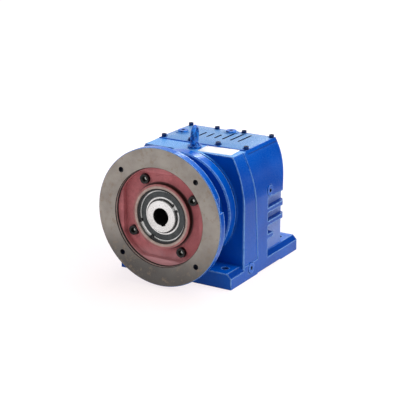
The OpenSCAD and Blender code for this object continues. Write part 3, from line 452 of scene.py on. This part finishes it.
MATERIALS = {
    # enamel: casting texture, edge radius, gloss, light and deep blue
    "cast": enamel("enamel_cast", 0.0003, 0.0022, 0.14),
    "housing": enamel("enamel_housing", 0.0003, 0.0022, deck=BLUE_DECK_SHEEN, reach=2.8, corners=True),
    "rough_cast": enamel("enamel_rough_cast", 0.0012, 0.0016, 0.24, grain_scale=210.0, speck=0.75),
    "smooth": enamel("enamel_smooth", 0.0006, 0.0016, deck=BLUE_COVER_SHEEN, reach=2.6, slots=True),
    # band steps: all in the pale edge blue, a painted highlight
    "step": enamel("enamel_step_highlight", 0.0001, 0.0008, 0.3, BLUE_EDGE_HIGHLIGHT, BLUE_EDGE_HIGHLIGHT, edge_highlight=0.0),
    # rib tops and foot chamfers: darker blue, a painted shade
    "ledge": enamel("enamel_ledge", 0.0003, 0.0016, 0.2, (0.0002, 0.045, 0.30),
                    (0.0002, 0.034, 0.25), up=(0.0002, 0.040, 0.28)),
    "fitting": enamel("enamel_fitting", 0.0001, 0.0008, 0.14, (0.030, 0.26, 0.85),
                      (0.0002, 0.035, 0.24), patch=95.0),
    # plugs: paler blue with a strong painted highlight on their edges
    "plug": enamel("enamel_plug", 0.0001, 0.0008, 0.16, (0.014, 0.115, 0.54),
                   (0.003, 0.070, 0.41), edge_highlight=0.9),
    # eyebolt: small patches of dark and pale blue, painted shade and painted glints
    "eyebolt": enamel("enamel_eyebolt", 0.0020, 0.0008, 0.08, (0.012, 0.18, 0.66),
                      (0.0001, 0.022, 0.19), patch=170.0, grain_scale=240.0),
    "bolt": enamel("enamel_bolt", 0.0001, 0.0007, 0.2, (0.002, 0.020, 0.13), BLUE_SHADOW, edge_highlight=0.0),
    # dark blue: painted shade in the cover slots and plug sockets, and the dark joint of the cover
    # gasket
    "groove": enamel("enamel_groove", 0.0001, 0.0003, 0.4, BLUE_SHADOW, (0.001, 0.008, 0.05),
                     edge_highlight=0.0),
    "painted_hole": rubber("painted_hole", (0.0008, 0.050, 0.28), 0.6),
    "dark": rubber("shadowed_recess", (0.002, 0.003, 0.008), 0.6),
    # adapter
    "primer": primer(),
    # flange face: its fade is a painted shade low down
    "flange": turned("flange_face", (0.30, 0.265, 0.235), (0.41, 0.37, 0.33), 0.0011, 0.42, 0.25,
                     stain=0.65, fade=0.78),
    "register": register(),
    "boss": boss_rim(),
    "boss_wall": boss_wall(),
    "bare_cast": plain_metal("bare_casting", (0.24, 0.22, 0.20), 0.5, metallic=0.5, grain=300.0,
                             bump=0.0003),
    "oxide": plain_metal("black_oxide", (0.012, 0.012, 0.013), 0.32, metallic=0.5),
    "socket": socket(),
    # shafts, gears and bearings
    "hub": turned("hub_steel", (0.72, 0.715, 0.70), (0.86, 0.855, 0.85), 0.0009, 0.24, 0.6,
                  bump=0.00006),
    "bore": plain_metal("bore_steel", (0.035, 0.035, 0.035), 0.35, metallic=0.8),
    "shaft": plain_metal("shaft_steel", (0.60, 0.60, 0.60), 0.26),
    "gear": plain_metal("gear_steel", (0.42, 0.42, 0.44), 0.28),
    "bearing": plain_metal("bearing_steel", BRIGHT_STEEL, 0.36, metallic=0.7),
    "balls": balls(),
    "shield": shield(),
    "spring": plain_metal("spring_steel", (0.004, 0.004, 0.005), 0.4, metallic=0.1),
    "seal": rubber("seal_rubber", (0.035, 0.035, 0.037), 0.45),
    "plate": plate(),
}


# ---------------------------------------------------------------- CAD nodes
def assign(node, default, rules=()):
    """Gives a CAD node its materials; the first rule that holds for a face wins.

    Each rule is a material and a test of the face's centre c, its normal n and the centre's
    distance r from the main axis.
    """
    mesh = nodes[node].data
    mesh.materials.clear()
    for name in [default] + [name for name, _ in rules]:
        mesh.materials.append(MATERIALS[name])
    for poly in mesh.polygons:
        poly.use_smooth = True
        c, n = poly.center, poly.normal
        r = math.hypot(c.x, c.z - AXIS_Z)
        poly.material_index = 0
        for i, (_, test) in enumerate(rules):
            if test(c, n, r):
                poly.material_index = i + 1
                break


def near(u, v, points, reach):
    """Whether (u, v) is within reach of one of the points."""
    return any(math.hypot(u - x, v - y) < reach for x, y in points)


def pocket_bottom(c, n, r):
    """Rough cast bottoms of the ribbed pockets in the sides."""
    return (c.y > POCKET_START and abs(abs(c.x) - POCKET_X) < 0.0015
            and FOOT_TOP - 0.0005 < c.z < 0.1875 and abs(n.x) > 0.9)


def ledge_top(c, n, r):
    """Tops of the ribs in the side pockets, and the chamfers on the sides of the feet, which take a
    painted shade.
    """
    rib = c.y > POCKET_START and abs(c.x) > POCKET_X - 0.013 and FOOT_TOP + 0.005 < c.z < 0.2
    chamfer = abs(c.x) > POCKET_X + 0.002 and FOOT_TOP - 0.0115 < c.z < FOOT_TOP and n.z < 0.95
    return n.z > 0.5 and (rib or chamfer)


def band_step(c, n, r):
    """Small step that faces forward, at the rear edge of the slanted band on each side."""
    return (-0.058 < c.y < 0.0 and FOOT_TOP + 0.005 < c.z < DECK_Z + 0.001
            and abs(c.x) > 0.1445 and n.y < -0.6)


def foot_hole(c, n, r):
    """Walls of the four bolt holes in the feet."""
    return near(c.x, c.y, FOOT_HOLES, 0.0092) and c.z < FOOT_TOP and abs(n.z) < 0.5


def slot_wall(c, n, r):
    """Walls and bottoms of the slots in the cover."""
    inside = abs(c.x - SLOTS_X[0]) < SLOTS_X[1] and abs(c.y - SLOTS_Y[0]) < SLOTS_Y[1]
    height = c.z - SLOT_BOTTOM
    return inside and -0.001 < height < 0.0033 and (n.z < 0.5 or height < 0)


assign("gear_housing", "housing", [
    ("rough_cast", pocket_bottom),
    ("ledge", ledge_top),
    ("bare_cast", lambda c, n, r: c.z < 0.0005 and n.z < -0.9),
    # the band steps take a painted highlight
    ("step", band_step),
    ("bare_cast", lambda c, n, r: r < 0.057 and abs(n.y) < 0.9),
    ("painted_hole", foot_hole),
])
assign("top_cover", "smooth", [("groove", slot_wall)])
assign("cover_gasket", "groove")
assign("cover_bolts", "bolt", [
    ("dark", lambda c, n, r: near(c.x, c.y, COVER_BOLTS, BOLT_SOCKET) and c.z > COVER_TOP - 0.0015),
])
for plug in ("breather_plug", "filler_plug"):
    place = middle(plug).xy
    assign(plug, "fitting", [
        ("dark", lambda c, n, r: near(c.x, c.y, [place], PLUG_SOCKET) and abs(n.z) < 0.9),
    ])
for plug in ("level_plug", "drain_plug"):
    place = middle(plug).yz
    assign(plug, "plug", [
        ("groove", lambda c, n, r: near(c.y, c.z, [place], PLUG_SOCKET) and abs(n.x) < 0.9),
    ])
assign("lifting_eyebolt", "eyebolt")
assign("countershaft_end_cap", "smooth")


def flange_hole(c, n, r):
    """Walls of the four bolt holes in the flange."""
    return (abs(r - FLANGE_CIRCLE) < 0.0095 and abs(abs(c.x) - 0.106) < 0.0075
            and abs(n.y) < 0.5 and c.y < FLANGE_HOLE_END)


# adapter: machined face and register, red primer in the bowl, enamel outside
assign("motor_adapter", "cast", [
    ("flange", lambda c, n, r: c.y < FACE_Y + 0.0006 and n.y < -0.9),
    ("register", lambda c, n, r: c.y < REGISTER_END and 0.12 < r < REGISTER_RADIUS and n.y > -0.9),
    ("boss", lambda c, n, r: c.y < BOSS_FRONT and r < BOSS_RADIUS and n.y < -0.5),
    ("boss_wall", lambda c, n, r: 0.079 < r < BOSS_RADIUS + 0.0002 and abs(n.y) < 0.5),
    ("bare_cast", lambda c, n, r: r < 0.0725 and c.y > FACE_Y + 0.012),
    ("dark", flange_hole),
    ("primer", lambda c, n, r: r < 0.1245 and c.y < BOWL_END),
])
assign("adapter_screws", "oxide", [
    ("socket", lambda c, n, r: near(c.x, c.z, SCREWS, SCREW_HEAD) and c.y > SCREW_TOP),
])

assign("front_bearing_shield", "shield")
assign("input_shaft", "hub", [("bore", lambda c, n, r: r < 0.0245 and n.y > -0.9)])
for name in nodes:
    for ending, material in (("_ring", "bearing"), ("_balls", "balls"), ("_seal", "seal"),
                             ("_circlip", "spring")):
        if name.endswith(ending):
            assign(name, material)
for name in ("input_pinion", "countershaft", "countershaft_gear", "output_gear"):
    assign(name, "gear")
for name in ("countershaft_key", "countershaft_spacer", "output_spacer", "output_gear_key",
             "output_shaft"):
    assign(name, "shaft")


# ---------------------------------------------------------------- small pieces
def new_object(name, bm, material):
    """Object made from a bmesh, with one material."""
    mesh = bpy.data.meshes.new(name)
    bm.to_mesh(mesh)
    bm.free()
    mesh.materials.append(material)
    obj = bpy.data.objects.new(name, mesh)
    scene.collection.objects.link(obj)
    return obj


def piece(name, bm, material, body="housing"):
    """Smooth shaded piece that rides on a body."""
    obj = new_object(name, bm, MATERIALS[material])
    for poly in obj.data.polygons:
        poly.use_smooth = True
    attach(obj, body)


def pin(bm, place, segments=20):
    """Domed head of a drive pin, revolved round Z from (radius, height) points."""
    rings = []
    for radius, height in ((0.0022, 0.0), (0.0022, 0.0006), (0.0016, 0.0013)):
        turns = (2 * math.pi * i / segments for i in range(segments))
        rings.append([bm.verts.new(place @ Vector((radius * math.cos(t), radius * math.sin(t),
                                                   height)))
                      for t in turns])
    top = bm.verts.new(place @ Vector((0, 0, 0.0016)))
    for a, b in zip(rings, rings[1:]):
        for i in range(segments):
            j = (i + 1) % segments
            bm.faces.new((a[i], b[i], b[j], a[j]))
    for i in range(segments):
        bm.faces.new((rings[-1][i], top, rings[-1][(i + 1) % segments]))


def rounded_plate(bm, width, depth, thick, corner, place):
    """Thin plate with round corners and a soft upper edge."""
    outline = []
    for sx, sy, start in ((1, 1, 0), (-1, 1, 90), (-1, -1, 180), (1, -1, 270)):
        for k in range(7):
            t = math.radians(start + 15 * k)
            outline.append((sx * (width / 2 - corner) + corner * math.cos(t),
                            sy * (depth / 2 - corner) + corner * math.sin(t)))
    loops = []
    for inset, z in ((0.0, 0.0), (0.0, thick * 0.6), (thick * 0.4, thick)):
        kx, ky = 1 - 2 * inset / width, 1 - 2 * inset / depth
        loops.append([bm.verts.new(place @ Vector((x * kx, y * ky, z))) for x, y in outline])
    count = len(outline)
    for a, b in zip(loops, loops[1:]):
        for i in range(count):
            bm.faces.new((a[i], a[(i + 1) % count], b[(i + 1) % count], b[i]))
    bm.faces.new(loops[-1])
    bm.faces.new(list(reversed(loops[0])))


# bare rating plate on the deck, held by four drive pins
PLATE = Matrix.Translation((0.0665, -0.0745, DECK_Z)) @ Matrix.Rotation(math.radians(4), 4, "Z")
bm = bmesh.new()
rounded_plate(bm, PLATE_WIDTH, PLATE_DEPTH, PLATE_THICK, PLATE_CORNER, PLATE)
piece("rating_plate", bm, "plate")
bm = bmesh.new()
for sx in (-1, 1):
    for sy in (-1, 1):
        place = (sx * (PLATE_WIDTH / 2 - PIN_INSET), sy * (PLATE_DEPTH / 2 - PIN_INSET),
                 PLATE_THICK - 0.0001)
        pin(bm, PLATE @ Matrix.Translation(place))
piece("rating_plate_pins", bm, "shaft")


# ---------------------------------------------------------------- studio
SEEN_RAYS = ("Is Camera Ray", "Is Glossy Ray", "Is Transmission Ray")


def add_seen(tree):
    """One factor that is 1 for camera, glossy and transmission rays."""
    path = tree.nodes.new("ShaderNodeLightPath")
    total = path.outputs[SEEN_RAYS[0]]
    for name in SEEN_RAYS[1:]:
        most = tree.nodes.new("ShaderNodeMath")
        most.operation = "MAXIMUM"
        tree.links.new(total, most.inputs[0])
        tree.links.new(path.outputs[name], most.inputs[1])
        total = most.outputs[0]
    return total


def aim(location, target):
    """Matrix of a lamp, card or camera at location that looks at target."""
    eye = Vector(location)
    look = (Vector(target) - eye).to_track_quat("-Z", "Y")
    return Matrix.Translation(eye) @ look.to_matrix().to_4x4()


def lamp(name, size, place, watts):
    """White rectangular area lamp."""
    light = bpy.data.lights.new(name, "AREA")
    light.shape = "RECTANGLE"
    light.size, light.size_y = size
    light.energy = watts
    obj = bpy.data.objects.new(name, light)
    scene.collection.objects.link(obj)
    obj.matrix_world = place


def card(name, size, place, material):
    """Flat rectangle of the studio, which isn't part of the object."""
    bm = bmesh.new()
    for u, v in ((-0.5, -0.5), (0.5, -0.5), (0.5, 0.5), (-0.5, 0.5)):
        bm.verts.new(place @ Vector((u * size[0], v * size[1], 0)))
    bm.faces.new(bm.verts)
    obj = new_object(name, bm, material)
    return obj


def flag(name, size, place):
    """Dark card beside the object, seen only in its reflections."""
    mat = bpy.data.materials.new(name)
    mat.use_nodes = True
    bsdf = mat.node_tree.nodes["Principled BSDF"]
    bsdf.inputs["Base Color"].default_value = (0.02, 0.02, 0.02, 1)
    bsdf.inputs["Roughness"].default_value = 0.9
    obj = card(name, size, place, mat)
    obj.visible_camera = False
    obj.visible_diffuse = False
    obj.visible_shadow = False


def floor_shader():
    """White floor: paper white to the camera and to reflections, with a soft warm shadow.

    Near the object the glow stays low enough for its shadow to show; far off it is full,
    as less lamp light falls there.
    """
    mat = bpy.data.materials.new("floor_white")
    mat.use_nodes = True
    tree = mat.node_tree
    tree.nodes.clear()
    new, link = tree.nodes.new, tree.links.new
    out = new("ShaderNodeOutputMaterial")
    plain, seen = new("ShaderNodeBsdfDiffuse"), new("ShaderNodeBsdfDiffuse")
    plain.inputs["Color"].default_value = (0.80, 0.795, 0.795, 1)
    seen.inputs["Color"].default_value = (0.25, 0.25, 0.25, 1)
    glow = new("ShaderNodeEmission")
    glow.inputs["Color"].default_value = (1.0, 0.93, 0.935, 1)
    place, distance = new("ShaderNodeTexCoord"), new("ShaderNodeVectorMath")
    distance.operation = "LENGTH"
    fade = new("ShaderNodeMapRange")
    fade.interpolation_type = "SMOOTHSTEP"
    for key, value in (("From Min", 0.6), ("From Max", 1.2), ("To Min", 0.82), ("To Max", 0.98)):
        fade.inputs[key].default_value = value
    link(place.outputs["Object"], distance.inputs[0])
    link(distance.outputs["Value"], fade.inputs["Value"])
    link(fade.outputs["Result"], glow.inputs["Strength"])
    both = new("ShaderNodeAddShader")
    link(seen.outputs[0], both.inputs[0])
    link(glow.outputs[0], both.inputs[1])
    mix = new("ShaderNodeMixShader")
    link(add_seen(tree), mix.inputs[0])
    link(plain.outputs[0], mix.inputs[1])
    link(both.outputs[0], mix.inputs[2])
    link(mix.outputs[0], out.inputs[0])
    return mat


def studio_world():
    """White to the camera and in reflections, and a softer fill light."""
    world = bpy.data.worlds.new("studio")
    scene.world = world
    world.use_nodes = True
    tree = world.node_tree
    tree.nodes.clear()
    mix = tree.nodes.new("ShaderNodeMixShader")
    tree.links.new(add_seen(tree), mix.inputs[0])
    for socket, strength in ((1, 0.42), (2, 1.0)):
        shade = tree.nodes.new("ShaderNodeBackground")
        shade.inputs["Color"].default_value = (1, 1, 1, 1)
        shade.inputs["Strength"].default_value = strength
        tree.links.new(shade.outputs[0], mix.inputs[socket])
    out = tree.nodes.new("ShaderNodeOutputWorld")
    tree.links.new(mix.outputs[0], out.inputs[0])


studio_world()
card("floor", (18, 18), Matrix.Translation((0, 0, -0.0002)), floor_shader())
flag("flag_right_back", (3.2, 1.7), aim((1.45, 2.3, 1.05), (0.1, 0.0, 0.2)))
flag("flag_right_floor", (2.6, 3.6), Matrix.Translation((1.82, 1.9, 0.002)))
lamp("top_box", (2.2, 2.2), aim((0.5, 0.7, 2.6), (0, 0, 0.15)), 52)
lamp("right_box", (1.6, 1.6), aim((2.8, 0.2, 1.9), (0, 0, 0.2)), 36)
lamp("rim_strip", (0.16, 1.5), aim((-0.6, 2.1, 1.35), (0, -0.1, 0.3)), 9)
lamp("front_box", (1.4, 1.4), aim((-1.6, -2.6, 1.7), (0, -0.2, 0.2)), 14)

# camera solved from the photo, with the flange as the scale
camera_data = bpy.data.cameras.new("camera")
camera_data.sensor_width = 36.0
camera_data.lens = 119.38
camera = bpy.data.objects.new("camera", camera_data)
scene.collection.objects.link(camera)
camera.matrix_world = aim((1.6597, -2.7997, 1.18935), (0.11815, -0.249, 0.2452))
scene.camera = camera
scene.view_settings.view_transform = "Standard"
